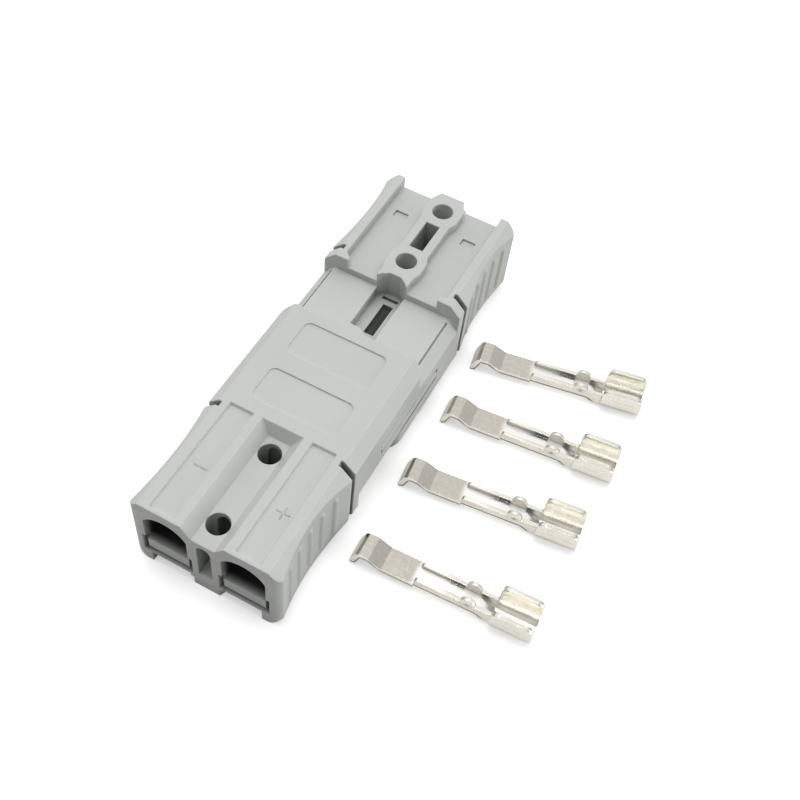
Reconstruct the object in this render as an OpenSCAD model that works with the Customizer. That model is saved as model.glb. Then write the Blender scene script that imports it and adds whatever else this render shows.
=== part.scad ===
// Genderless power connector: two identical housings plugged into each other
// head to head, a leaf spring under each contact place, and the four crimp
// contacts lying loose beside the pair, ready to be fitted.
//
// X runs along the pair, from the near wire end to the far one, Y across it,
// Z up.  X = 0 is the mating centre and Z = 0 the table the pair lies on.
// The far housing is the near one turned over about the Y axis, so everything
// that meets in the middle is drawn once, in housing().

/* [Housing] */
// Length from the mating centre to a wire end
half_len = 46; // [45:0.5:50]
// Width of a housing
body_w = 29.8; // [29.4:0.2:32]
// Height of a housing
body_h = 18; // [17.6:0.1:19]
// Leg of the 45 degree chamfer on the four long edges
edge_chamfer = 2.3; // [1.5:0.1:2.6]
// Wall left above the wire openings, under the top face
roof = 2.2; // [2:0.1:3]

/* [Grip] */
// How far the waist of the finger grip is drawn in on each side
waist = 1.4; // [0.8:0.1:1.6]
// Number of upright ribs on each finger grip
grip_ribs = 5; // [3:1:6]
// Radius of an upright rib
grip_rib_r = 0.7; // [0.5:0.05:0.8]
// Radius of the two rear corners seen from above
rear_corner_r = 1.8; // [1.5:0.1:3]
// Width of the slot between the grip and the collar
neck_gap = 1.2; // [1:0.1:1.6]

/* [Mating face] */
// Distance from the mating centre to the front edge of the hood
hood_reach = 4.5; // [3:0.5:6]
// Radius of the hood's two front corners
hood_corner_r = 1.8; // [1:0.1:4]
// Distance from the mating centre to the tip of the tongue
tongue_reach = 11.4; // [10.8:0.1:12.5]
// Height of the tongue's outer face above the outer face of the housing
tongue_step = 3.6; // [3.2:0.1:3.9]
// Half width of the flat panel on the tongue's outer face
panel_half = 12.6; // [12:0.1:12.8]
// Clearance between tongue and hood
slide_gap = 0.2; // [0.15:0.05:0.3]
// Clearance between the two tongues
face_gap = 0.2; // [0.1:0.05:0.3]
// Half width of the key slot in the tongue
key_half = 3; // [2.6:0.1:3.2]
// Depth of the key slot
key_depth = 2.5; // [2:0.1:2.7]

/* [Mounting] */
// Diameter of the two screw holes, a clearance hole for M4
hole_d = 4.3; // [4:0.1:4.5]
// Distance between the two screw holes
hole_pitch = 16; // [15.8:0.1:16.2]
// Distance from the mating centre to the nearer screw hole
hole_from_centre = 25.2; // [25:0.1:25.5]

/* [Contact places] */
// Distance of each contact place from the middle plane
place_y = 7.65; // [7.5:0.05:7.8]
// Width of the wire opening
wire_w = 8.6; // [8:0.1:8.8]
// Width of the space for the crimp barrel
barrel_w = 7.4; // [7.2:0.1:7.6]
// Width of the groove the contact blade lies in
groove_w = 5.5; // [5.3:0.1:5.8]

/* [Contact] */
// Thickness of the contact sheet
sheet = 1; // [0.8:0.1:1.1]
// Length of the contact from crimp end to hooked nose
contact_len = 34.8; // [34:0.2:35]
// Width of the blade
blade_w = 4.8; // [4.4:0.1:5]
// Outer width of the crimp barrel
crimp_w = 6.4; // [6:0.1:6.8]
// Length of the crimp barrel
crimp_len = 7.8; // [7:0.1:8]
// Height of the crimp wings
crimp_h = 6.4; // [5.6:0.1:6.6]

/* [Spring] */
// Thickness of the leaf spring strip
leaf_t = 0.4; // [0.3:0.05:0.5]
// Width of the leaf spring
leaf_w = 4.2; // [3.6:0.1:4.4]
// Rise of the bowed spring over its feet
leaf_rise = 2.2; // [1.6:0.1:2.4]

/* [Hidden] */
$fn = 64;

half_w = body_w / 2;
mid_z = body_h / 2;
top_half = half_w - edge_chamfer;

// Stations along a housing, as distances from the mating centre
collar_front = 19.3;
collar_rear = 21.5;
grip_front = collar_rear + neck_gap;
root_wall = tongue_reach + 0.1;

// Finger grip: each side is a shallow arc that meets the full width at both ends
grip_mid = (half_len + grip_front) / 2;
grip_chord = (half_len - grip_front) / 2 - 0.6;
grip_r = (pow(grip_chord, 2) + pow(waist, 2)) / (2 * waist);
grip_arc_y = half_w - waist + grip_r;
rib_first = grip_front + 4.2;
rib_span = half_len - 4.2 - rib_first;

// Faces under the housing
rib_half = 3.25;
rib_pad = 3.85;
rail_in = 11.1;
floor_z = 2.1;

// Top face
ridge_in = 4.25;
tray_in = 5.85;
tray_out = 10.75;
land_front = 20.8;
channel_floor = 2.2;
channel_depth = 2.6;

// Contact place heights
seat_z = mid_z - 2.4;
wire_top = body_h - roof;
wire_spring = wire_top - 2.7;
arch_r = (pow(wire_w / 2, 2) + pow(2.7, 2)) / (2 * 2.7);
barrel_top = 13.4;
blade_top = 12;
barrel_front = 19.4;
bar_top = mid_z - 1;
leaf_floor = seat_z - 1.3;
leaf_from = -12.4;
leaf_to = 3.4;

// Tongue flank: runs from beside the panel down to the full width
flank_in = panel_half + 0.5;
flank_in_z = tongue_step + 0.5;
flank_out_z = tongue_step + 2.75;
tip_lead = 3.4;
tip_rise = 0.9;

// Bar along X from a to b, with a Y-Z outline as its child
module along_x(a, b) {
    translate([a, 0, 0])
        rotate([90, 0, 90])
            linear_extrude(height = b - a)
                children();
}

// Bar along Y from a to b, with an X-Z outline as its child
module along_y(a, b) {
    translate([0, b, 0])
        rotate([90, 0, 0])
            linear_extrude(height = b - a)
                children();
}

module block(x, y, z) {
    translate([x[0], y[0], z[0]])
        cube([x[1] - x[0], y[1] - y[0], z[1] - z[0]]);
}

module both_sides() {
    children();
    mirror([0, 1, 0])
        children();
}

// ---- the housing --------------------------------------------------------

// Full outline seen along X: a box with its four long edges chamfered
module outline() {
    c = edge_chamfer;
    polygon([
        [-half_w, c], [-half_w + c, 0], [half_w - c, 0], [half_w, c],
        [half_w, body_h - c], [half_w - c, body_h], [-half_w + c, body_h], [-half_w, body_h - c]
    ]);
}

// Outline of the tongue, lying in the lower half, grown by g all round
module tongue_outline(g = 0) {
    mirror_pts = [
        [0, tongue_step - g],
        [panel_half + g, tongue_step - g],
        [flank_in + g, flank_in_z - g],
        [half_w + g, flank_out_z - g],
        [half_w + g, mid_z - face_gap / 2],
        [0, mid_z - face_gap / 2]
    ];
    polygon(mirror_pts);
    mirror([1, 0])
        polygon(mirror_pts);
}

// Grip seen from above: waisted sides and rounded rear corners
module grip_plan() {
    r = rear_corner_r;
    difference() {
        union() {
            translate([-half_len + r, -half_w])
                square([half_len - r - grip_front, body_w]);
            translate([-half_len, -half_w + r])
                square([r + 1, body_w - 2 * r]);
            for (s = [-1, 1])
                translate([-half_len + r, s * (half_w - r)])
                    circle(r);
        }
        for (s = [-1, 1])
            translate([-grip_mid, s * grip_arc_y])
                circle(grip_r, $fn = 180);
    }
}

module grip() {
    intersection() {
        along_x(-half_len - 1, -grip_front + 1)
            outline();
        union() {
            linear_extrude(height = body_h)
                grip_plan();
            grip_rib_row();
        }
    }
}

// Upright round ended ribs standing half out of the waisted sides
module grip_rib_row() {
    low = 3.8;
    tall = body_h - 7.4;
    for (i = [0 : grip_ribs - 1]) {
        x = rib_first + i * rib_span / (grip_ribs - 1);
        y = grip_arc_y - sqrt(pow(grip_r, 2) - pow(x - grip_mid, 2));
        both_sides()
            translate([-x, y - 0.25, low]) {
                cylinder(h = tall, r = grip_rib_r, $fn = 24);
                for (z = [0, tall])
                    translate([0, 0, z])
                        sphere(r = grip_rib_r, $fn = 24);
            }
    }
}

// Neck, collar and the block the tongue and the hood both grow from
module middle() {
    block([-grip_front - 0.5, -collar_rear + 0.5], [-top_half + 0.6, top_half - 0.6], [0, body_h]);
    along_x(-collar_rear, -collar_front)
        outline();
    intersection() {
        along_x(-collar_front - 0.5, -root_wall)
            outline();
        union() {
            block([-collar_front - 0.5, -root_wall], [-half_w, half_w], [mid_z - 1, body_h]);
            along_x(-collar_front - 0.5, -root_wall)
                tongue_outline();
        }
    }
}

// Hood seen from above, with its two front corners rounded
module hood_plan() {
    r = hood_corner_r;
    translate([-root_wall - 0.5, -half_w])
        square([root_wall + 0.5 + hood_reach - r, body_w]);
    translate([-root_wall - 0.5, -half_w + r])
        square([root_wall + 0.5 + hood_reach, body_w - 2 * r]);
    for (s = [-1, 1])
        translate([hood_reach - r, s * (half_w - r)])
            circle(r);
}

// Hood: a roof with two wedge shaped cheeks that ride on the mate's flanks
module hood() {
    difference() {
        intersection() {
            along_x(-root_wall - 0.5, hood_reach)
                outline();
            linear_extrude(height = body_h)
                hood_plan();
        }
        translate([0, 0, body_h])
            mirror([0, 0, 1])
                along_x(-root_wall, hood_reach + 1)
                    tongue_outline(slide_gap);
        block([-root_wall - 1, hood_reach + 1], [-half_w - 1, half_w + 1], [-1, mid_z + face_gap]);
    }
    key();
}

// Key under the roof, running in the slot of the mate, with a nose that shows
// as a small tab on the front edge of the hood
module key() {
    key_z = body_h - tongue_step - key_depth + slide_gap;
    block([-root_wall - 0.5, hood_reach], [-key_half + slide_gap, key_half - slide_gap],
          [key_z, body_h - tongue_step + 0.6]);
    translate([0, 0, body_h - tongue_step + slide_gap])
        linear_extrude(height = tongue_step - slide_gap)
            polygon([
                [hood_reach - 0.5, -2.2], [hood_reach, -2.2], [hood_reach + 1.2, -0.4],
                [hood_reach + 1.2, 2.1], [hood_reach, 4.8], [hood_reach - 0.5, 4.8]
            ]);
}

module tongue() {
    difference() {
        along_x(-collar_front - 0.5, tongue_reach)
            tongue_outline();
        // lead-in on the outer face of the tip
        along_y(-half_w - 1, half_w + 1)
            polygon([
                [tongue_reach - tip_lead, 0], [tongue_reach + 1, 0],
                [tongue_reach + 1, flank_out_z + tip_rise], [tongue_reach, flank_out_z + tip_rise],
                [tongue_reach, tongue_step + tip_rise], [tongue_reach - tip_lead, tongue_step]
            ]);
        // lead-in on the inner edge of the tip
        along_y(-half_w - 1, half_w + 1)
            polygon([
                [tongue_reach - 1, mid_z], [tongue_reach + 1, mid_z],
                [tongue_reach + 1, mid_z - 2], [tongue_reach, mid_z - 1]
            ]);
    }
}

// Thin grooves that part the panel of the tongue from its flanks
module panel_grooves() {
    both_sides()
        block([-collar_front + 0.9, tongue_reach + 1], [panel_half, panel_half + 0.35],
              [tongue_step - 1, tongue_step + 0.8]);
}

// Key slot in the tongue: a shallow channel, a core pocket beside its middle
// line, a cross groove, and a six sided notch where the centre rib starts
module key_slot() {
    top = tongue_step + key_depth;
    block([-collar_front, tongue_reach + 1], [-key_half, key_half], [-1, top]);
    linear_extrude(height = top)
        polygon([
            [-collar_front + 0.1, -key_half], [-collar_front + 0.1, key_half],
            [-collar_front - 0.4, key_half - 0.3], [-collar_front - 1.5, 1.2],
            [-collar_front - 1.5, -1.2], [-collar_front - 0.4, -key_half + 0.3]
        ]);
    block([-18, -9.7], [-1.45, 0.65], [top - 1, mid_z - 1.2]);
    block([-19.9, -19.1], [-1.7, 1.7], [top - 1, top + 0.8]);
}

// Tray with sloping walls, cut down from the top face
module tray(x, y, depth, slope) {
    z = body_h - depth;
    intersection() {
        along_x(x[0], x[1])
            polygon([
                [y[0] + slope, z], [y[1] - slope, z],
                [y[1] + slope, body_h + depth], [y[0] - slope, body_h + depth]
            ]);
        along_y(y[0] - slope, y[1] + slope)
            polygon([
                [x[0] + slope, z], [x[1] - slope, z],
                [x[1] + slope, body_h + depth], [x[0] - slope, body_h + depth]
            ]);
    }
}

// Channel along the middle of the grip, with sloping sides and a sloping end
module top_channel() {
    z = body_h - channel_depth;
    grow = (ridge_in - channel_floor) / channel_depth;
    intersection() {
        along_x(-half_len - 1, -land_front + 1)
            polygon([
                [-channel_floor, z], [channel_floor, z],
                [ridge_in + grow, body_h + 1], [-ridge_in - grow, body_h + 1]
            ]);
        along_y(-10, 10)
            polygon([
                [-half_len - 1, z], [-land_front - 1.3, z],
                [-land_front + 0.5, body_h + 1], [-half_len - 1, body_h + 1]
            ]);
    }
}

// Shallow sunk plate with rounded corners, left bare
module plate_recess(x, half) {
    r = 1.4;
    translate([0, 0, body_h - 0.25])
        linear_extrude(height = 1)
            union() {
                translate([x[0] + r, -half])
                    square([x[1] - x[0] - 2 * r, 2 * half]);
                translate([x[0], -half + r])
                    square([x[1] - x[0], 2 * half - 2 * r]);
                for (cx = [x[0] + r, x[1] - r], cy = [-half + r, half - r])
                    translate([cx, cy])
                        circle(r);
            }
}

// Small sunk gauge mark on each floor under the grip
module floor_marks() {
    both_sides()
        translate([-38.6, place_y - 1.4, floor_z - 1])
            cube([1.8, 2.8, 1.4]);
}

module top_relief() {
    top_channel();
    both_sides()
        tray([-half_len + 0.8, -land_front], [tray_in, tray_out], 0.6, 0.25);
    plate_recess([-18, -10.3], 8.6);
    plate_recess([-6.1, 2], 8.6);
}

// Sunk floors under the grip, each between a side rail and the centre rib
module under_floors() {
    both_sides()
        difference() {
            block([-half_len - 1, -collar_front + 0.01], [1, rail_in], [-1, floor_z]);
            linear_extrude(height = body_h)
                centre_rib_plan();
            // ear of the collar, reaching in over the floor
            linear_extrude(height = body_h)
                polygon([
                    [-collar_front + 0.01, 9.8], [-collar_front - 0.9, 9.8],
                    [-collar_rear + 0.4, rail_in], [-collar_rear + 0.4, rail_in + 1],
                    [-collar_front + 0.01, rail_in + 1]
                ]);
        }
    // the floors end a little short of the rear face
    both_sides()
        block([-half_len - 1, -half_len + 0.6], [rib_half, rail_in], [-1, floor_z + 0.8]);
}

// Centre rib, wider round the screw holes
module centre_rib_plan() {
    a = hole_from_centre;
    b = hole_from_centre + hole_pitch;
    half = [
        [-half_len - 2, 2.6], [-half_len + 0.2, 2.6], [-b - 2, rib_pad], [-b + 1.8, rib_pad],
        [-b + 3.6, rib_half - 0.1], [-a - 3, rib_half - 0.1], [-a - 1.4, rib_pad], [-a + 1.6, rib_pad],
        [-a + 3.8, rib_half], [-collar_front + 0.1, rib_half]
    ];
    flip = [for (i = [len(half) - 1 : -1 : 0]) [half[i][0], -half[i][1]]];
    polygon(concat(half, flip));
}

// Wire opening with an arched roof, then the barrel space, then the blade groove
module contact_place() {
    translate([0, place_y, 0]) {
        along_x(-half_len - 1, -30) {
            translate([-wire_w / 2, seat_z + 0.3])
                square([wire_w, wire_spring - seat_z - 0.3]);
            intersection() {
                translate([0, wire_top - arch_r])
                    circle(arch_r);
                translate([-wire_w / 2, wire_spring - 1])
                    square([wire_w, 6]);
            }
        }
        block([-30.5, -barrel_front], [-barrel_w / 2, barrel_w / 2], [seat_z, barrel_top]);
        block([-barrel_front - 1, -root_wall + 0.1], [-groove_w / 2, groove_w / 2], [seat_z, blade_top]);
        block([-root_wall - 1, 3.9], [-groove_w / 2, groove_w / 2], [seat_z, mid_z + 0.1]);
        // the mate's blade runs in here, over a bar for the hooked nose
        block([3.5, tongue_reach + 1], [-groove_w / 2, groove_w / 2], [bar_top, mid_z + 0.1]);
        // pocket the tip of the nose drops into
        block([5.4, 8.6], [-groove_w / 2, groove_w / 2], [seat_z - 0.3, mid_z]);
        // trench for the leaf spring
        block([leaf_from - 0.15, leaf_to + 0.15], [-leaf_w / 2 - 0.15, leaf_w / 2 + 0.15],
              [leaf_floor, seat_z + 1]);
        // core slot under the wire opening
        block([-half_len - 1, -26], [-wire_w / 2 + 0.1, wire_w / 2 + 0.2], [3.05, 4.3]);
        wire_sill();
    }
}

// Wider mouth below the arch: the sill the wire lies on is set back a little
// from the rear face, with an upright slit at each end
module wire_sill() {
    half = wire_w / 2 + 0.7;
    bar = wire_w / 2 - 0.15;
    top = seat_z + 1.5;
    block([-half_len - 1, -half_len + 0.3], [-half, half], [3.2, top]);
    block([-half_len - 1, -half_len + 1.2], [-half, half], [seat_z + 0.3, top]);
    block([-half_len - 1, -half_len + 1.2], [-half, -bar], [3.2, top]);
    block([-half_len - 1, -half_len + 1.2], [bar, half], [3.2, top]);
}

// Core between the two wire openings, and the window that opens it below
module centre_core() {
    half = 1.4;
    along_x(-half_len - 1, -22.6) {
        translate([-half, 4.5])
            square([2 * half, 8.4]);
        translate([0, 12.9])
            circle(half);
    }
    block([-36.9, -29.2], [-1.5, 1.5], [-1, 5]);
}

module screw_holes() {
    for (i = [0, 1])
        translate([-hole_from_centre - i * hole_pitch, 0, -1])
            cylinder(h = body_h + 2, d = hole_d);
}

module housing() {
    difference() {
        union() {
            grip();
            middle();
            hood();
            tongue();
        }
        top_relief();
        under_floors();
        floor_marks();
        panel_grooves();
        key_slot();
        both_sides()
            contact_place();
        centre_core();
        screw_holes();
    }
}

// ---- the leaf spring ----------------------------------------------------

// Bowed strip with a flat foot at each end
module leaf_spring() {
    half = (leaf_to - leaf_from) / 2 - 0.1;
    bow = half - 1.2;
    r = (pow(bow, 2) + pow(leaf_rise, 2)) / (2 * leaf_rise);
    translate([(leaf_from + leaf_to) / 2, 0, leaf_floor])
        along_y(-leaf_w / 2, leaf_w / 2)
            difference() {
                union() {
                    translate([-half, 0])
                        square([2 * half, leaf_t]);
                    intersection() {
                        translate([0, leaf_rise - r])
                            circle(r + leaf_t, $fn = 180);
                        translate([-half, 0])
                            square([2 * half, leaf_rise + 2]);
                    }
                }
                translate([0, leaf_rise - r])
                    circle(r, $fn = 180);
            }
}

// ---- the contact --------------------------------------------------------

// Side view of the strip: crimp floor, ramp, blade, and the hooked nose.
// X is the distance from the crimp end, Y the height above the table.
module strip_side() {
    lift = 1.4;
    t = sheet;
    nose = contact_len;
    polygon([
        [0, 0], [crimp_len, 0], [crimp_len + 3, lift], [nose - 6.1, lift],
        [nose - 3.5, 3.8 - t], [nose - 2.1, 3.8 - t], [nose - 1.15, 0.35], [nose - 0.5, 0],
        [nose, 0.3], [nose - 0.2, 1.4], [nose - 1.1, 3.4], [nose - 1.7, 3.8],
        [nose - 3.6, 3.8], [nose - 6.2, lift + t],
        [crimp_len + 2.7, lift + t], [crimp_len - 0.3, t], [0, t]
    ]);
}

// Crimp barrel seen along the contact: an open U with a round bottom
module crimp_outline() {
    r = crimp_w / 2;
    difference() {
        union() {
            translate([0, r])
                circle(r);
            translate([-r, r])
                square([crimp_w, crimp_h - r]);
        }
        translate([0, r])
            circle(r - sheet);
        translate([-r + sheet, r])
            square([crimp_w - 2 * sheet, crimp_h]);
    }
}

// All that lies outside the round bottom, taken off the neck behind the barrel
module below_round() {
    r = crimp_w / 2;
    difference() {
        translate([-crimp_w, -1])
            square([2 * crimp_w, r + 1]);
        translate([0, r])
            circle(r - 0.05);
    }
}

// Crimp wings seen from the side: the upper corners are rounded
module wing_side() {
    r = 1.6;
    square([crimp_len, crimp_h - r]);
    translate([r, 0])
        square([crimp_len - 2 * r, crimp_h]);
    for (x = [r, crimp_len - r])
        translate([x, crimp_h - r])
            circle(r);
}

// Low side walls with two round ears, open again before the crimp barrel
module wall_side() {
    step = contact_len - 12.4;
    polygon([
        [crimp_len, 0.2], [crimp_len + 3, 1.4], [step, 1.4], [step, 2.9],
        [step - 0.4, 3.3], [crimp_len + 0.2, 3.3], [crimp_len, 3.5]
    ]);
    translate([crimp_len + 4.5, 3.2])
        circle(1.45);
}

// Length along +Y, lying on the table, hooked nose at the far end
module contact() {
    wall = 0.8;
    wall_out = blade_w / 2 - 0.35;
    color("gainsboro")
        rotate([0, 0, 90])
            difference() {
                union() {
                    difference() {
                        union() {
                            along_y(-blade_w / 2, blade_w / 2)
                                intersection() {
                                    strip_side();
                                    translate([crimp_len - 0.5, -1])
                                        square([contact_len, 10]);
                                }
                            for (s = [-1, 1])
                                translate([0, s * (wall_out - wall / 2), 0])
                                    along_y(-wall / 2, wall / 2)
                                        wall_side();
                        }
                        along_x(crimp_len - 1, crimp_len + 3)
                            below_round();
                    }
                    intersection() {
                        along_x(0, crimp_len)
                            crimp_outline();
                        along_y(-crimp_w, crimp_w)
                            wing_side();
                    }
                }
                // the blade is wider than the walled length behind it
                both_sides()
                    block([crimp_len, contact_len - 12.4], [wall_out, 5], [-1, 8]);
                // dimple pressed into the outside of each ear
                both_sides()
                    translate([crimp_len + 4.5, wall_out + 0.35, 3.3])
                        sphere(r = 0.6, $fn = 32);
            }
}

// ---- the pieces in place ------------------------------------------------

// Turns a piece of the near half over into the far half
module far_half() {
    translate([0, 0, body_h])
        rotate([0, 180, 0])
            children();
}

// Where each loose contact lies: the place of its nose along the pair, the
// gap between its nose and the pair, and its turn from the Y axis
contact_x = [-26.5, -8.1, 8.9, 23.8];
contact_gap = [3.5, 3.4, 3.7, 2.9];
contact_turn = [2.4, 6, 5.5, 10.2];

module loose_contact(i) {
    translate([contact_x[i], -half_w - contact_gap[i], 0])
        rotate([0, 0, contact_turn[i]])
            translate([0, -contact_len, 0])
                contact();
}

module near_housing() {
    color("lightgray")
        housing();
}

module far_housing() {
    color("lightgray")
        far_half()
            housing();
}

module spring_at(side) {
    color("darkgray")
        translate([0, side * place_y, 0])
            leaf_spring();
}

near_housing();
far_housing();
spring_at(1);  // near_left_spring
spring_at(-1);  // near_right_spring
far_half() spring_at(1);  // far_left_spring
far_half() spring_at(-1);  // far_right_spring
loose_contact(0);  // contact_1
loose_contact(1);  // contact_2
loose_contact(2);  // contact_3
loose_contact(3);  // contact_4
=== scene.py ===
# %% [markdown]
# # Genderless power connector
# Two identical moulded housings are plugged head to head, and four stamped
# crimp contacts lie loose beside them.  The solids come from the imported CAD
# model and stay where they are.  This script dresses them: plastic for the
# housings, plated strip for the contacts, spring steel inside, and two low
# moulded signs on each housing.  Then come the table, the light and the camera.

import math
from types import SimpleNamespace

import bmesh
import bpy
from mathutils import Matrix, Vector


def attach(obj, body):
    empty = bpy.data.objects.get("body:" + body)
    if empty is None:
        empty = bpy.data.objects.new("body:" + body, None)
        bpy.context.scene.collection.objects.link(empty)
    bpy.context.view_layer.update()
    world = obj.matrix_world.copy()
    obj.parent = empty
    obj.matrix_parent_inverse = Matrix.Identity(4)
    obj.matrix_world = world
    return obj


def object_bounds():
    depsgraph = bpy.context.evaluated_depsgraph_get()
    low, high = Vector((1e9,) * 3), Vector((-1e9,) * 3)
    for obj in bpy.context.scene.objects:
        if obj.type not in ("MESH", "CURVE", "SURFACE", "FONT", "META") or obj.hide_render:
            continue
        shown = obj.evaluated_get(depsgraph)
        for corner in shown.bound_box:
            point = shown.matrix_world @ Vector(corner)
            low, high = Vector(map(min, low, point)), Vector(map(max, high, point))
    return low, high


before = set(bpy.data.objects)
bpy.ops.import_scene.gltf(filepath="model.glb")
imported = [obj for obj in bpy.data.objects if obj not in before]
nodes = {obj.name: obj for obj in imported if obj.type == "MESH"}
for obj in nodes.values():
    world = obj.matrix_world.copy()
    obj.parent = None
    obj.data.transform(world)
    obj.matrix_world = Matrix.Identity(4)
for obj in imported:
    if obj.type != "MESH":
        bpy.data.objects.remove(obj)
MM = 0.001
cad_box = [list(corner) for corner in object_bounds()]
print("CAD box in mm:", [[round(v / MM, 1) for v in corner] for corner in cad_box])

# %% [markdown]
# ## Sizes of a housing
# The housings are the longest and the highest thing on the table, so the
# model's box gives their length and height.  x runs along the pair from the
# mating centre, and z up from the table.  The far housing is the near one
# turned over, so what is at a height in one is as far under the top in the
# other.

# %% Sizes of a housing
HALF_LENGTH = round(cad_box[1][0] / MM, 2)      # mating centre to wire end, in mm
HEIGHT = round(cad_box[1][2] / MM, 2)
MID_HEIGHT = HEIGHT / 2
print("a housing reaches", HALF_LENGTH, "mm from the mating centre and is", HEIGHT, "mm high")

# %% [markdown]
# ## A short way to wire shader nodes
# Every finish below is a small node tree.  Adding nodes by hand takes four
# lines each, so one helper adds a node, sets its settings and its plain
# values, and links whatever socket it is given.

# %% Node helper
def add(tree, kind, settings=None, **inputs):
    """Adds a shader node.  i0, i1 and so on are inputs by number, others by name."""
    node = tree.nodes.new(kind)
    for name, value in (settings or {}).items():
        setattr(node, name, value)
    for name, value in inputs.items():
        by_number = name[0] == "i" and name[1:].isdigit()
        socket = node.inputs[int(name[1:]) if by_number else name]
        if isinstance(value, bpy.types.NodeSocket):
            tree.links.new(value, socket)
        else:
            socket.default_value = value
    return node


def start_material(name):
    """A new material, with its tree and its shader ready to wire."""
    material = bpy.data.materials.new(name)
    material.use_nodes = True
    tree = material.node_tree
    return material, tree, tree.nodes["Principled BSDF"]


def dress(node, material):
    """Gives a solid its finish and leaves its mesh alone."""
    node.data.materials.clear()
    node.data.materials.append(material)


print("node helper ready")

# %% [markdown]
# ## Sums, ramps and masks
# A finish differs from place to place, and a mask says where: it is 1 at the
# place and 0 elsewhere.  A mask here is a few soft ramps multiplied together,
# so a place is a short list of where its ramps begin and end, in millimetres.

# %% Sums, ramps and masks
def math_node(tree, operation, a, b=0.0):
    return add(tree, "ShaderNodeMath", {"operation": operation}, i0=a, i1=b).outputs[0]


def one_by_one(tree, operation, values):
    """Runs one operation through a list of values."""
    total = values[0]
    for value in values[1:]:
        total = math_node(tree, operation, total, value)
    return total


def plus(tree, *values):
    return one_by_one(tree, "ADD", values)


def times(tree, *values):
    return one_by_one(tree, "MULTIPLY", values)


def highest(tree, *values):
    return one_by_one(tree, "MAXIMUM", values)


def minus(tree, a, b):
    return math_node(tree, "SUBTRACT", a, b)


def size_of(tree, value):
    """The value without its sign."""
    return math_node(tree, "ABSOLUTE", value)


def away_from(tree, value, place_mm):
    """How far a value is from a place, on either side of it."""
    return size_of(tree, minus(tree, value, place_mm * MM))


def parts_of(tree, vector):
    """The x, y and z of a vector."""
    return add(tree, "ShaderNodeSeparateXYZ", None, Vector=vector).outputs


def remap(tree, value, low, high, to_low=0.0, to_high=1.0):
    """A soft ramp from to_low at low to to_high at high, level beyond both."""
    node = add(tree, "ShaderNodeMapRange", {"interpolation_type": "SMOOTHSTEP"},
               i0=value, i1=low, i2=high, i3=to_low, i4=to_high)
    return node.outputs[0]


def ramp_mm(tree, value, ramp):
    """0 where the ramp begins and 1 where it ends."""
    return remap(tree, value, ramp[0] * MM, ramp[1] * MM)


def within(tree, *limits):
    """1 where every value is past the end of its ramp."""
    return times(tree, *[ramp_mm(tree, value, ramp) for value, ramp in limits])


print("masks ready")

# %% [markdown]
# ## Colour, grain and edges
# More nodes that come back: a mix of two colours, a noise whose blobs have a
# known size, the shade that gathers where surfaces close in, and a bevel.  The
# bevel node leaves the shape alone and only tells the light that an edge is
# rounded.  For the housings' many small edges that is safer than a modifier,
# which could tear them.

# %% Colour, grain and edges
NODE_SAMPLES = 6    # rays for each look around, for both the bevel and the shade


def mix_colour(tree, factor, a, b):
    """Colour a where the factor is 0, colour b where it is 1."""
    return add(tree, "ShaderNodeMix", {"data_type": "RGBA"}, i0=factor, i6=a, i7=b).outputs[2]


def noise(tree, coords, size_mm, detail, roughness=0.5):
    """Noise whose blobs are about size_mm across."""
    node = add(tree, "ShaderNodeTexNoise", None, Vector=coords, Scale=1.0 / (size_mm * MM),
               Detail=detail, Roughness=roughness)
    return node.outputs["Fac"]


def object_coords(tree):
    return add(tree, "ShaderNodeTexCoord").outputs["Object"]


def rounded_normal(tree, radius_mm):
    """The direction of the surface, with its edges rounded."""
    bevel = add(tree, "ShaderNodeBevel", {"samples": NODE_SAMPLES}, Radius=radius_mm * MM)
    return bevel.outputs[0]


def open_to_air(tree, reach_mm):
    """1 in the open, less where surfaces within reach close in."""
    shade = add(tree, "ShaderNodeAmbientOcclusion", {"samples": NODE_SAMPLES},
                Distance=reach_mm * MM)
    return shade.outputs["AO"]


def bumped(tree, height, strength, depth_mm, **over):
    """The direction of the surface with small bumps, over another direction if given."""
    bump = add(tree, "ShaderNodeBump", None, Strength=strength, Distance=depth_mm * MM,
               Height=height, **over)
    return bump.outputs[0]


print("colour helpers ready")

# %% [markdown]
# ## Where the shade is held back
# Painted shade is laid into the corners of a moulding: an ambient occlusion
# node finds corners by itself and darkens the colour there.  In three places it
# goes too far: in the screw holes, close under the outer faces, and by the thin
# grooves that part the tongue's flat panel from its flanks.  Each gets a mask.
# They use distances from the middle, so one mask serves both halves.  Only the
# window between the screw holes is different: the far half, turned over, opens
# it upwards, so its mask is for the far half alone.

# %% Where the shade is held back
# Places are in mm, and a pair is a ramp: where it begins and where it ends.
OUTER_SKIN = (MID_HEIGHT - 0.34, MID_HEIGHT - 0.28)
SCREW_PITCH = 16
SCREW_PAIR_AT = 25.2 + SCREW_PITCH / 2      # middle of the two screw holes
SCREW_BORE = (2.35, 2.2)                    # just outside the bore's radius
WINDOW_AT = 33.05                           # the far half's window, between its screw holes
WINDOW_LENGTH, WINDOW_WIDTH = (4.1, 3.9), (1.7, 1.55)
WINDOW_SHARE, NEAR_SHARE = 0.6, 0.35        # these stay darker than the far half's holes
MATING_CENTRE = (-1, 1)
GROOVE_LENGTH = (20.4, 20)
GROOVE_INSIDE, GROOVE_OUTSIDE = (11.3, 11.6), (14.2, 14.0)
GROOVE_HEIGHT = (5.8, 5.6)


def outer_skin(tree, coords):
    """1 within 0.3 mm of the top and bottom faces."""
    return ramp_mm(tree, away_from(tree, parts_of(tree, coords)[2], MID_HEIGHT), OUTER_SKIN)


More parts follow.
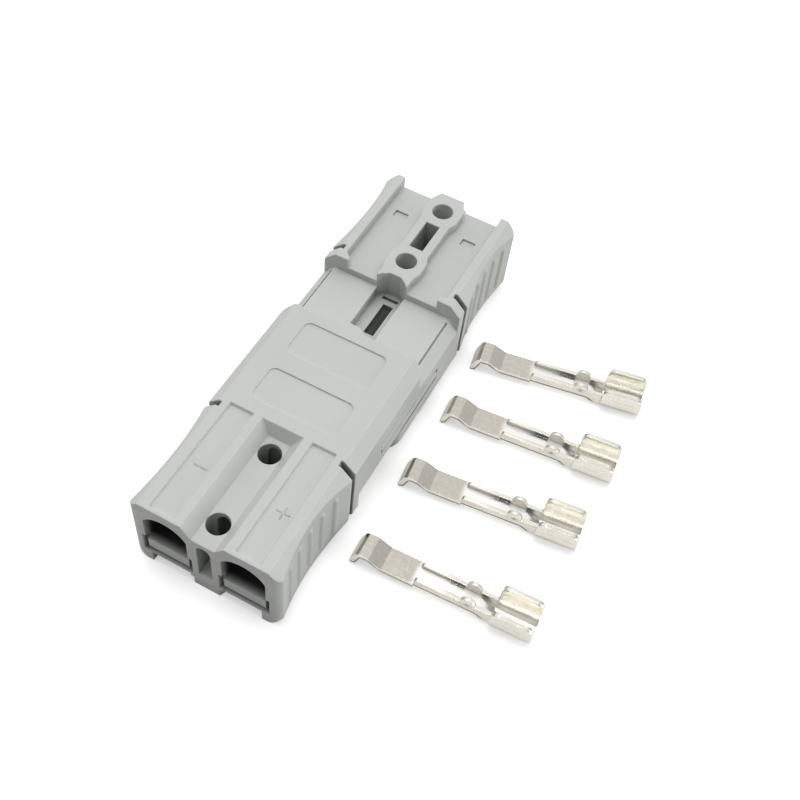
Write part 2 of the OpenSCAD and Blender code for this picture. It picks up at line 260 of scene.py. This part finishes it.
def screw_holes(tree, coords):
    """1 in the far half's screw holes, less in its window and in the near half's holes."""
    x, y = parts_of(tree, coords)[:2]
    aside = size_of(tree, y)
    from_hole = minus(tree, away_from(tree, size_of(tree, x), SCREW_PAIR_AT), SCREW_PITCH / 2 * MM)
    squares = [math_node(tree, "POWER", value, 2.0) for value in (from_hole, aside)]
    bore = ramp_mm(tree, math_node(tree, "SQRT", plus(tree, *squares)), SCREW_BORE)
    window = within(tree, (away_from(tree, x, WINDOW_AT), WINDOW_LENGTH), (aside, WINDOW_WIDTH))
    near, far = (place * MM for place in MATING_CENTRE)
    half = remap(tree, x, near, far, NEAR_SHARE, 1.0)
    return times(tree, highest(tree, bore, times(tree, window, WINDOW_SHARE)), half)


def panel_grooves(tree, coords):
    """1 by the thin grooves that part the tongue's panel from its flanks."""
    x, y, z = parts_of(tree, coords)
    aside = size_of(tree, y)
    return within(tree, (size_of(tree, x), GROOVE_LENGTH), (aside, GROOVE_INSIDE),
                  (aside, GROOVE_OUTSIDE), (away_from(tree, z, MID_HEIGHT), GROOVE_HEIGHT))


print("screw holes on both sides of", SCREW_PAIR_AT, "mm,", SCREW_PITCH, "mm apart")

# %% [markdown]
# ## Deep places
# Two places are painted darker than their corners alone would make them, as
# painted shade: the wire ways, and the narrow pocket that a core leaves in the
# floor of each key slot.  Both are boxes, so a box is six ramps, two for each
# direction.  The painted shade in the wire ways deepens slowly behind the rear
# faces, as the light gives out.  Where these places are most closed in, the
# colour is painted lighter again, a painted light for what bounces inside.

# %% Deep places
def turned_over(ramp):
    """The same ramp in a housing that is turned over."""
    return tuple(HEIGHT - place for place in ramp)


WIRE_WAY_FLOOR, POCKET_FLOOR = (3.05, 3.15), (6.15, 6.4)
WIRE_WAY = ((HALF_LENGTH, HALF_LENGTH - 2.2), (26, 27),
            (3.2, 3.3), (12.7, 12.6),
            WIRE_WAY_FLOOR, turned_over(WIRE_WAY_FLOOR))
CORE_POCKET = ((9.6, 9.8), (18.1, 17.9),
               (-1.5, -1.4), (0.7, 0.6),
               POCKET_FLOOR, turned_over(POCKET_FLOOR))


def inside_box(tree, x, y, z, box):
    """1 inside a box, given as its two ramps for each of x, y and z."""
    return within(tree, *zip((x, x, y, y, z, z), box))


def wire_ways(tree, coords):
    x, y, z = parts_of(tree, coords)
    return inside_box(tree, size_of(tree, x), size_of(tree, y), z, WIRE_WAY)


def core_pockets(tree, coords):
    x, y, z = parts_of(tree, coords)
    return inside_box(tree, size_of(tree, x), y, z, CORE_POCKET)


print("wire ways darken over", round(WIRE_WAY[0][0] - WIRE_WAY[0][1], 1), "mm")

# %% [markdown]
# ## Housing plastic
# The housings are injection moulded in a light grey polycarbonate.  The mould
# was spark eroded, so the skin is a very fine even grain, a little duller than
# gloss.  Edges catch light because no moulded edge is truly sharp.  Where the
# rounded direction and the flat one differ there is an edge, and it gets a
# painted highlight: its colour is made a little paler.  Corners get painted
# shade.  The grain is so fine that it is a bump and not a shape.

# %% Housing plastic
PLASTIC = (0.60, 0.62, 0.59, 1)
PLASTIC_CLOUDED = tuple(c * 0.965 for c in PLASTIC[:3]) + (1,)
# painted highlight on the moulded edges
PLASTIC_EDGE_HIGHLIGHT = (0.78, 0.795, 0.77, 1)
# painted shade in corners and recesses
PLASTIC_PAINTED_SHADE = (0.16, 0.174, 0.167, 1)
# painted shade in the deep places; the next colour is painted light where they are most closed in
WIRE_WAY_PAINTED_SHADE = (0.030, 0.032, 0.031, 1)
WIRE_WAY_ROOF_PAINTED_LIGHT = (0.42, 0.435, 0.42, 1)
EDGE_HIGHLIGHT_SHARE = 0.75
MOULDED_EDGE = 0.45     # mm
SHADE_REACH = 7         # mm


def edge_mask(tree, rounded):
    """1 where the rounded direction leaves the flat one."""
    flat = add(tree, "ShaderNodeNewGeometry").outputs["True Normal"]
    same = add(tree, "ShaderNodeVectorMath", {"operation": "DOT_PRODUCT"}, i0=rounded, i1=flat)
    return remap(tree, same.outputs["Value"], 0.995, 0.90)


def plastic_colour(tree, coords, rounded):
    cloud = noise(tree, coords, size_mm=14, detail=2)
    speck = noise(tree, coords, size_mm=0.5, detail=4, roughness=0.7)
    tone = plus(tree, times(tree, cloud, 0.6), times(tree, speck, 0.4))
    skin = mix_colour(tree, remap(tree, tone, 0.35, 0.65), PLASTIC_CLOUDED, PLASTIC)
    # painted highlight: the edges are painted paler
    skin = mix_colour(tree, times(tree, edge_mask(tree, rounded), EDGE_HIGHLIGHT_SHARE), skin, PLASTIC_EDGE_HIGHLIGHT)

    air = open_to_air(tree, SHADE_REACH)
    painted_shade_held_back = highest(tree, remap(tree, air, 0.04, 0.60), screw_holes(tree, coords),
                       outer_skin(tree, coords), panel_grooves(tree, coords))
    # painted shade in corners and recesses, held back in the masked places
    colour = mix_colour(tree, painted_shade_held_back, PLASTIC_PAINTED_SHADE, skin)
    # painted shade in the wire ways and core pockets, with painted light where they are most closed in
    painted_wire_way_light_and_shade = mix_colour(tree, remap(tree, air, 0.02, 0.30), WIRE_WAY_ROOF_PAINTED_LIGHT, WIRE_WAY_PAINTED_SHADE)
    painted_shade_deep_places = highest(tree, wire_ways(tree, coords), core_pockets(tree, coords))
    return mix_colour(tree, painted_shade_deep_places, colour, painted_wire_way_light_and_shade)


def housing_plastic():
    """The plastic of both housings and of the signs moulded on them."""
    material, tree, shader = start_material("housing_plastic_dressed")
    coords = object_coords(tree)
    rounded = rounded_normal(tree, MOULDED_EDGE)
    tree.links.new(plastic_colour(tree, coords, rounded), shader.inputs["Base Color"])
    rough = remap(tree, noise(tree, coords, size_mm=3, detail=4), 0.3, 0.7, 0.40, 0.52)
    tree.links.new(rough, shader.inputs["Roughness"])
    grain = noise(tree, coords, size_mm=0.16, detail=2)
    wave = noise(tree, coords, size_mm=6, detail=1)
    height = plus(tree, times(tree, grain, 0.02), times(tree, wave, 0.25))
    tree.links.new(bumped(tree, height, 0.35, 0.25, Normal=rounded), shader.inputs["Normal"])
    shader.inputs["IOR"].default_value = 1.5
    shader.inputs["Specular IOR Level"].default_value = 0.4
    return material


plastic = housing_plastic()
for name in ("near_housing", "far_housing"):
    dress(nodes[name], plastic)
    print(name, "faces:", len(nodes[name].data.polygons))

# %% [markdown]
# ## Softened edges on the metal
# A stamped edge is sheared and then rolled, so it is never knife sharp.  Three
# modifiers do that on the finished solids without touching them: the first
# joins the doubled corners of the mesh, the second rounds every real edge by a
# tenth of a millimetre or less, and the last keeps the flat faces flat in the
# light.

# %% Softened edges
CONTACT_EDGE = 0.10     # mm
SPRING_EDGE = 0.06      # mm
SAME_CORNER = 0.002     # mm
REAL_EDGE = math.radians(28)


def soften(obj, width_mm):
    for polygon in obj.data.polygons:
        polygon.use_smooth = True
    weld = obj.modifiers.new("joined", "WELD")
    weld.merge_threshold = SAME_CORNER * MM
    bevel = obj.modifiers.new("rounded", "BEVEL")
    bevel.width = width_mm * MM
    bevel.segments = 2
    bevel.limit_method = "ANGLE"
    bevel.angle_limit = REAL_EDGE
    bevel.use_clamp_overlap = True
    bevel.miter_outer = "MITER_SHARP"
    normals = obj.modifiers.new("flat_light", "WEIGHTED_NORMAL")
    normals.keep_sharp = False
    normals.weight = 100


contacts = [nodes[f"contact_{number}"] for number in range(1, 5)]
springs = [node for name, node in nodes.items() if name.endswith("_spring")]
for contact in contacts:
    soften(contact, CONTACT_EDGE)
for spring in springs:
    soften(spring, SPRING_EDGE)
print("softened:", len(contacts), "contacts and", len(springs), "springs")

# %% [markdown]
# ## How each contact lies
# The contacts are four copies of one stamping, each turned by itself, and their
# finish changes along the strip.  So the shader has to know where a contact's
# crimp end is and which way it points.  Both come from its own corners: they
# are spread most along its length.

# %% How each contact lies
def lie_of(obj):
    """Crimp end and turn of a contact, from the spread of its own corners."""
    corners = [obj.matrix_world @ v.co for v in obj.data.vertices]
    middle = sum(corners, Vector()) / len(corners)
    xx = sum((c.x - middle.x) ** 2 for c in corners)
    yy = sum((c.y - middle.y) ** 2 for c in corners)
    xy = sum((c.x - middle.x) * (c.y - middle.y) for c in corners)
    turn = 0.5 * math.atan2(2 * xy, xx - yy) - math.pi / 2
    while turn < -math.pi / 2:
        turn += math.pi
    along = Vector((-math.sin(turn), math.cos(turn), 0))
    start = min((c - middle).dot(along) for c in corners)
    foot = middle + along * start
    return Vector((foot.x, foot.y, 0)), turn


for number, contact in enumerate(contacts, 1):
    foot, turn = lie_of(contact)
    print(f"contact {number}: crimp end at {foot.x / MM:.1f}, {foot.y / MM:.1f} mm,"
          f" turned {math.degrees(turn):.1f} degrees")

# %% [markdown]
# ## Places along a contact
# From the crimp end on, a contact has its barrel of two wings, a pair of ears,
# the open channel, the blade and the hooked nose.  The masks below find them
# from distances along the strip, aside from its middle line and up from the
# table.  The strip rises in steps, so the height of its under side is followed
# too, which gives the lower edge: partly the dull band of the shear and partly
# painted shade, the dark line under the contact.

# %% Places along a contact
# Places are in mm, and a pair is a ramp: where it begins and where it ends.
BLADE_FROM = (21.5, 23.5)
CHANNEL_BELOW = (3.3, 2.2)
CHANNEL_ASIDE = (1.7, 1.0)
BARREL_TO = (8.3, 7.6)
BARREL_ASIDE = (2.9, 2.3)
WING_RISE = (3.0, 5.8)
RUBBED_FROM = (15.5, 20)
EARS_AT = 12.3
EARS_REACH = (1.9, 1.0)
# the lower edge band: partly the dull shear, partly painted shade under the contact
SHEAR_AND_SHADE_BELOW = (0.55, 0.20)
# Where the under side begins to change height, where it stops, and by how much.
RISE_TO_CHANNEL = (7.8, 10.8, 1.4)
RISE_TO_CREST = (28.7, 31.3, 1.4)
FALL_TO_NOSE = (32.6, 34.2, 2.8)


def step_in_height(tree, along, step):
    begin, end, change = (value * MM for value in step)
    return remap(tree, along, begin, end, 0.0, change)


def strip_underside(tree, along):
    """Height of the strip's under side along the contact."""
    rises = [step_in_height(tree, along, step) for step in (RISE_TO_CHANNEL, RISE_TO_CREST)]
    return minus(tree, plus(tree, *rises), step_in_height(tree, along, FALL_TO_NOSE))


def contact_places(tree, local):
    """Masks for the places on a contact, from its own coordinates."""
    x, along, height = parts_of(tree, local)
    aside = size_of(tree, x)
    blade = ramp_mm(tree, along, BLADE_FROM)
    before_blade = minus(tree, 1.0, blade)
    channel = within(tree, (height, CHANNEL_BELOW), (aside, CHANNEL_ASIDE))
    by_ears = ramp_mm(tree, away_from(tree, along, EARS_AT), EARS_REACH)
    over_underside = minus(tree, height, strip_underside(tree, along))
    return SimpleNamespace(
        blade=blade,
        channel=times(tree, channel, before_blade),
        barrel=within(tree, (along, BARREL_TO), (aside, BARREL_ASIDE)),
        wing_top=ramp_mm(tree, height, WING_RISE),
        rubbed=highest(tree, times(tree, ramp_mm(tree, along, RUBBED_FROM), before_blade), by_ears),
        lower_edge=ramp_mm(tree, over_underside, SHEAR_AND_SHADE_BELOW))


print("places along a contact ready")

# %% [markdown]
# ## Plated strip
# The contacts are stamped from copper strip and plated bright.  The blade is the
# worn and duller part.  The channel behind it is clean plating, painted a shade
# brighter as a painted highlight, and the inside of the crimp barrel keeps a
# faint warm tint.  A dark band along the lower edge is partly the dull fracture
# of the shear and partly painted shade, the dark line under the contact.  The
# creases get painted shade.  Rolling lines run along the strip, and it is rubbed
# rougher towards the blade and beside the ears.  Rough plating spreads a
# reflection, and smooth plating shows it sharp.

# %% Plated strip
PLATE = (0.93, 0.905, 0.84, 1)
# the channel's clean plating, painted brighter as a painted highlight
PLATE_CLEAN_AND_HIGHLIT = (0.97, 0.965, 0.94, 1)
PLATE_DULL = (0.55, 0.52, 0.46, 1)
# painted shade in creases and under the contact, and the dull shear band
PLATE_DARK_SHEAR_AND_SHADE = (0.25, 0.23, 0.20, 1)
PLATE_WARM = (0.95, 0.925, 0.80, 1)
BLADE_WEAR, SCUFF_PALENESS = 0.88, 0.16
SPOT_DULLNESS, CHANNEL_CLEANNESS = 0.55, 0.4
# darkness of the lower edge band, partly dull shear and partly painted shade, and of the painted shade
# in creases
SHEAR_AND_SHADE_DARKNESS, CREASE_PAINTED_SHADE = 0.95, 0.75
CHANNEL_ROUGH, BARREL_ROUGH, RUBBED_ROUGH = 0.08, 0.11, 0.32
STRIP_EDGE = 0.12       # mm
CREASE_REACH = 1.6      # mm


def strip_colour(tree, local, rounded, at, speck, lines):
    # 1 on faces that look up or down, 0 on upright ones
    upward = size_of(tree, parts_of(tree, rounded)[2])
    scuffs = remap(tree, noise(tree, local, size_mm=0.9, detail=5, roughness=0.75), 0.40, 0.66)
    wear = minus(tree, BLADE_WEAR, times(tree, scuffs, SCUFF_PALENESS))
    worn = times(tree, at.blade, wear, remap(tree, upward, 0.08, 0.30))
    colour = mix_colour(tree, worn, PLATE, PLATE_DULL)
    colour = mix_colour(tree, times(tree, at.barrel, at.wing_top), colour, PLATE_WARM)
    # painted highlight: the channel's clean plating is painted brighter
    colour = mix_colour(tree, at.channel, colour, PLATE_CLEAN_AND_HIGHLIT)

    spots = plus(tree, times(tree, speck, 0.6), times(tree, lines, 0.4))
    dullness = minus(tree, SPOT_DULLNESS, times(tree, at.channel, CHANNEL_CLEANNESS))
    colour = mix_colour(tree, times(tree, remap(tree, spots, 0.42, 0.62), dullness), colour, PLATE_DULL)

    # dark lower edge band: partly the dull shear, partly painted shade under the contact
    shear_band_and_shade = times(tree, at.lower_edge, remap(tree, upward, 0.75, 0.35))
    colour = mix_colour(tree, times(tree, shear_band_and_shade, SHEAR_AND_SHADE_DARKNESS), colour, PLATE_DARK_SHEAR_AND_SHADE)
    # painted shade in creases, found by ambient occlusion
    painted_crease_shade = remap(tree, open_to_air(tree, CREASE_REACH), 0.62, 0.20)
    return mix_colour(tree, times(tree, painted_crease_shade, CREASE_PAINTED_SHADE), colour, PLATE_DARK_SHEAR_AND_SHADE)


def strip_roughness(tree, local, at, speck):
    patch = noise(tree, local, size_mm=2.6, detail=3)
    return plus(tree, remap(tree, patch, 0.3, 0.7, 0.10, 0.15), remap(tree, speck, 0.4, 0.7, 0.0, 0.06),
                times(tree, at.channel, CHANNEL_ROUGH), times(tree, at.barrel, BARREL_ROUGH),
                times(tree, at.rubbed, RUBBED_ROUGH))


def plated_strip(number, foot, turn):
    """The finish of one contact, laid along it from its crimp end."""
    material, tree, shader = start_material(f"plated_strip_{number}")
    local = add(tree, "ShaderNodeMapping", {"vector_type": "TEXTURE"}, Vector=object_coords(tree),
                Location=tuple(foot), Rotation=(0, 0, turn)).outputs[0]
    rounded = rounded_normal(tree, STRIP_EDGE)
    at = contact_places(tree, local)
    speck = noise(tree, local, size_mm=0.22, detail=4, roughness=0.7)
    drawn_out = add(tree, "ShaderNodeMapping", None, Vector=local, Scale=(26, 1, 26)).outputs[0]
    lines = noise(tree, drawn_out, size_mm=9, detail=3, roughness=0.6)

    tree.links.new(strip_colour(tree, local, rounded, at, speck, lines), shader.inputs["Base Color"])
    tree.links.new(strip_roughness(tree, local, at, speck), shader.inputs["Roughness"])
    waves = noise(tree, local, size_mm=1.8, detail=2)
    height = plus(tree, speck, times(tree, waves, 1.5), times(tree, lines, 0.8))
    tree.links.new(bumped(tree, height, 0.30, 0.05, Normal=rounded), shader.inputs["Normal"])
    shader.inputs["Metallic"].default_value = 1.0
    return material


for number, contact in enumerate(contacts, 1):
    dress(contact, plated_strip(number, *lie_of(contact)))
print("plated:", [contact.name for contact in contacts])

# %% [markdown]
# ## Spring steel
# The leaf springs are hard rolled stainless strip, darker than the plating.
# They sit inside and only show through the openings, so one finish with rolling
# lines along them is enough.

# %% Spring steel
STEEL = (0.56, 0.55, 0.53, 1)
STEEL_DARK = (0.42, 0.41, 0.40, 1)


def spring_steel():
    material, tree, shader = start_material("spring_steel_dressed")
    drawn_out = add(tree, "ShaderNodeMapping", None, Vector=object_coords(tree),
                    Scale=(1, 40, 40)).outputs[0]
    lines = noise(tree, drawn_out, size_mm=20, detail=3, roughness=0.6)
    colour = mix_colour(tree, remap(tree, lines, 0.35, 0.65), STEEL_DARK, STEEL)
    tree.links.new(colour, shader.inputs["Base Color"])
    tree.links.new(remap(tree, lines, 0.3, 0.7, 0.28, 0.42), shader.inputs["Roughness"])
    tree.links.new(bumped(tree, lines, 0.2, 0.02), shader.inputs["Normal"])
    shader.inputs["Metallic"].default_value = 1.0
    return material


steel = spring_steel()
for spring in springs:
    dress(spring, steel)
print("spring steel on", len(springs), "springs")

# %% [markdown]
# ## Beads for the polarity marks
# Each housing carries a plus in one tray and a minus in the other, moulded as
# low rounded beads on the tray floor.  A bead is built from cross sections.
# Each is half an ellipse, and along the bead it grows from almost nothing and
# shrinks again by a quarter circle.  Its root is sunk into the floor, so that
# no gap can show.

# %% Beads
BEAD_WIDTH = 0.46           # mm, as are the next three
BEAD_HEIGHT = 0.035
BEAD_ROOT = 0.04
TRAY_FLOOR = HEIGHT - 0.6
BEAD_FACETS = 12
END_STEP = 15               # degrees between sections at a rounded end
LEAST_SCALE = 0.001


def bead_sections(start, end):
    """Cross sections of one bead between two points on the tray floor, in mm."""
    start, end = Vector(start), Vector(end)
    length = (end - start).length
    along = (end - start).normalized()
    aside = Vector((-along.y, along.x))
    half = BEAD_WIDTH / 2
    stations = [half * (1 - math.cos(math.radians(a))) for a in range(0, 91, END_STEP)]
    stations += [length - s for s in reversed(stations)]
    sections = []
    for s in stations:
        reach = min(s, length - s, half)
        scale = math.sqrt(max(LEAST_SCALE ** 2, 1 - (1 - reach / half) ** 2))
        section = []
        for k in range(BEAD_FACETS + 1):
            a = math.pi * k / BEAD_FACETS
            flat = start + along * s + aside * (half * scale * math.cos(a))
            rise = (BEAD_HEIGHT + BEAD_ROOT) * scale * math.sin(a)
            section.append((flat.x, flat.y, TRAY_FLOOR - BEAD_ROOT + rise))
        sections.append(section)
    return sections


print("sections in a bead 3 mm long:", len(bead_sections((0, 0), (3, 0))))

# %% [markdown]
# ## Polarity marks
# A mark is one or two beads in one mesh, and it rides on its own half.  The far
# housing is the near one turned over, so its marks are turned over with it.

# %% Polarity marks
PLUS_AT, MINUS_AT = (-35.0, -8.7), (-34.4, 7.9)     # on the near half's trays, in mm
SIGN_REACH = 1.4


def bar(middle, reach_x, reach_y):
    """The two ends of a bead, from its middle and its reach each way."""
    x, y = middle
    return (x - reach_x, y - reach_y), (x + reach_x, y + reach_y)


PLUS = [bar(PLUS_AT, SIGN_REACH, 0), bar(PLUS_AT, 0, SIGN_REACH)]
MINUS = [bar(MINUS_AT, 0, SIGN_REACH)]


def polarity_mark(name, body, beads, turned_over):
    shape = bmesh.new()
    for start, end in beads:
        rings = []
        for section in bead_sections(start, end):
            if turned_over:
                section = [(-x, y, HEIGHT - z) for x, y, z in section]
            rings.append([shape.verts.new(Vector(corner) * MM) for corner in section])
        for one, two in zip(rings, rings[1:]):
            for k in range(len(one)):
                shape.faces.new((one[k - 1], one[k], two[k], two[k - 1]))
        shape.faces.new(rings[0])
        shape.faces.new(rings[-1])
    bmesh.ops.recalc_face_normals(shape, faces=shape.faces)
    for face in shape.faces:
        face.smooth = True
    mesh = bpy.data.meshes.new(name)
    shape.to_mesh(mesh)
    shape.free()
    mark = bpy.data.objects.new(name, mesh)
    bpy.context.scene.collection.objects.link(mark)
    mesh.materials.append(plastic)
    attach(mark, body)
    return mark


for half, body, turned in (("near", "near_half", False), ("far", "far_half", True)):
    for sign, beads in (("plus", PLUS), ("minus", MINUS)):
        mark = polarity_mark(f"{half}_{sign}_mark", body, beads, turned)
        print(mark.name, "faces:", len(mark.data.polygons))

# %% [markdown]
# ## Table
# The parts lie on a plain white table.  The camera sees it white, while for
# bounced light it is a mid grey, so the sides of the plastic keep their shade.
# Bright metal mirrors the table, so for mirrored rays it is nearly white too,
# with a faint glow.

# %% Table
TABLE_SEEN = (0.9, 0.9, 0.9, 1)
TABLE_MIRRORED = (0.92, 0.91, 0.88, 1)
TABLE_BOUNCE = (0.51, 0.51, 0.51, 1)
SEEN_GLOW, MIRRORED_GLOW = 0.45, 0.12
TABLE_REACH = 1.2           # metres to each side
TABLE_GAP = 0.02 * MM       # keeps the table's face clear of the parts' feet


def white_table():
    material, tree, shader = start_material("white_table")
    path = add(tree, "ShaderNodeLightPath").outputs
    seen, mirrored = path["Is Camera Ray"], path["Is Glossy Ray"]
    unseen = mix_colour(tree, mirrored, TABLE_BOUNCE, TABLE_MIRRORED)
    tree.links.new(mix_colour(tree, seen, unseen, TABLE_SEEN), shader.inputs["Base Color"])
    shader.inputs["Roughness"].default_value = 1.0
    shader.inputs["Specular IOR Level"].default_value = 0.0
    shader.inputs["Emission Color"].default_value = (1, 1, 1, 1)
    glow = plus(tree, times(tree, seen, SEEN_GLOW), times(tree, mirrored, MIRRORED_GLOW))
    tree.links.new(glow, shader.inputs["Emission Strength"])
    return material


table_mesh = bpy.data.meshes.new("table")
corners = [(x * TABLE_REACH, y * TABLE_REACH, 0) for x, y in ((-1, -1), (1, -1), (1, 1), (-1, 1))]
table_mesh.from_pydata(corners, [], [(0, 1, 2, 3)])
table_mesh.materials.append(white_table())
table = bpy.data.objects.new("table", table_mesh)
bpy.context.scene.collection.objects.link(table)
table.location.z = cad_box[0][2] - TABLE_GAP
print("table at", round(table.location.z / MM, 2), "mm")

# %% [markdown]
# ## Sky
# Bright metal shows what stands around it, so the studio matters more to the
# contacts than the lamps do.  The sky is brighter above and beyond the parts
# and dims towards the viewer.  The viewer stands in that light as a dark patch,
# which only mirrored rays meet.  It gives the dark streaks in the contacts'
# channels.  The camera sees plain white behind everything.

# %% Sky
LEAN_X, LEAN_Y = 0.6, 0.35          # how much the bright side leans away from straight up
VIEWER_SIDE = (-0.498, -0.080, 0.863)
VIEWER_EDGE = (0.90, 0.97)
VIEWER_DARKNESS = 0.9


def studio_sky():
    world = bpy.data.worlds.new("studio")
    world.use_nodes = True
    sky = world.node_tree
    path = add(sky, "ShaderNodeLightPath").outputs
    ray = add(sky, "ShaderNodeTexCoord").outputs["Generated"]
    x, y, z = parts_of(sky, ray)
    beyond = plus(sky, times(sky, y, LEAN_Y), plus(sky, times(sky, x, LEAN_X), z))
    lit = remap(sky, beyond, -0.2, 1.15, 0.10, 0.95)
    facing = add(sky, "ShaderNodeVectorMath", {"operation": "DOT_PRODUCT"}, i0=ray, i1=VIEWER_SIDE)
    viewer = times(sky, remap(sky, facing.outputs["Value"], *VIEWER_EDGE), path["Is Glossy Ray"])
    lit = times(sky, lit, minus(sky, 1.0, times(sky, viewer, VIEWER_DARKNESS)))
    back = sky.nodes["Background"]
    back.inputs["Color"].default_value = (1, 1, 1, 1)
    sky.links.new(highest(sky, lit, path["Is Camera Ray"]), back.inputs["Strength"])
    return world


bpy.context.scene.world = studio_sky()
print("world:", bpy.context.scene.world.name)

# %% [markdown]
# ## Lamps
# A square lamp high overhead gives the soft shadow and the shine on the metal.
# A wide one stands low on the right and lifts the side of the housings that
# faces away from the sky's bright side.

# %% Lamps
def soft_lamp(name, place, aim, width, power):
    """A square lamp at a place, turned to what it lights, in metres and watts."""
    lamp = bpy.data.lights.new(name, "AREA")
    lamp.energy = power
    lamp.size = width
    holder = bpy.data.objects.new(name, lamp)
    bpy.context.scene.collection.objects.link(holder)
    holder.location = place
    holder.rotation_euler = (Vector(aim) - Vector(place)).to_track_quat("-Z", "Y").to_euler()
    print(name, "at", place, "with", power, "W")


soft_lamp("key_lamp", place=(0.02, 0.08, 0.80), aim=(0, -0.01, 0), width=0.30, power=1.5)
soft_lamp("side_lamp", place=(0.10, -0.72, 0.14), aim=(0, -0.01, 0.01), width=0.40, power=1.95)

# %% [markdown]
# ## Camera
# The view is from above and behind the near half, turned a little, with a
# longer lens, so the pair runs away from the viewer to the upper right.  The
# camera is set by its place and by which way is right and up in its view, since
# it is tilted about all three axes.

# %% Camera
CAMERA_AT = Vector((-113.559, -57.206, 178.116)) * MM
CAMERA_RIGHT = Vector((0.46610, -0.88097, 0.08151))
CAMERA_UP = Vector((0.69471, 0.42148, 0.58287))
LENS = 50.106           # mm, on a film 36 mm wide

lens = bpy.data.cameras.new("camera")
lens.sensor_width = 36
lens.lens = LENS
lens.clip_start = 0.01
lens.clip_end = 10
camera = bpy.data.objects.new("camera", lens)
bpy.context.scene.collection.objects.link(camera)
right = CAMERA_RIGHT.normalized()
back = right.cross(CAMERA_UP).normalized()
turned = Matrix((right, back.cross(right), back)).transposed()
camera.matrix_world = Matrix.Translation(CAMERA_AT) @ turned.to_4x4()
bpy.context.scene.camera = camera
bpy.context.scene.view_settings.view_transform = "Standard"
print("camera at", [round(v, 3) for v in CAMERA_AT])
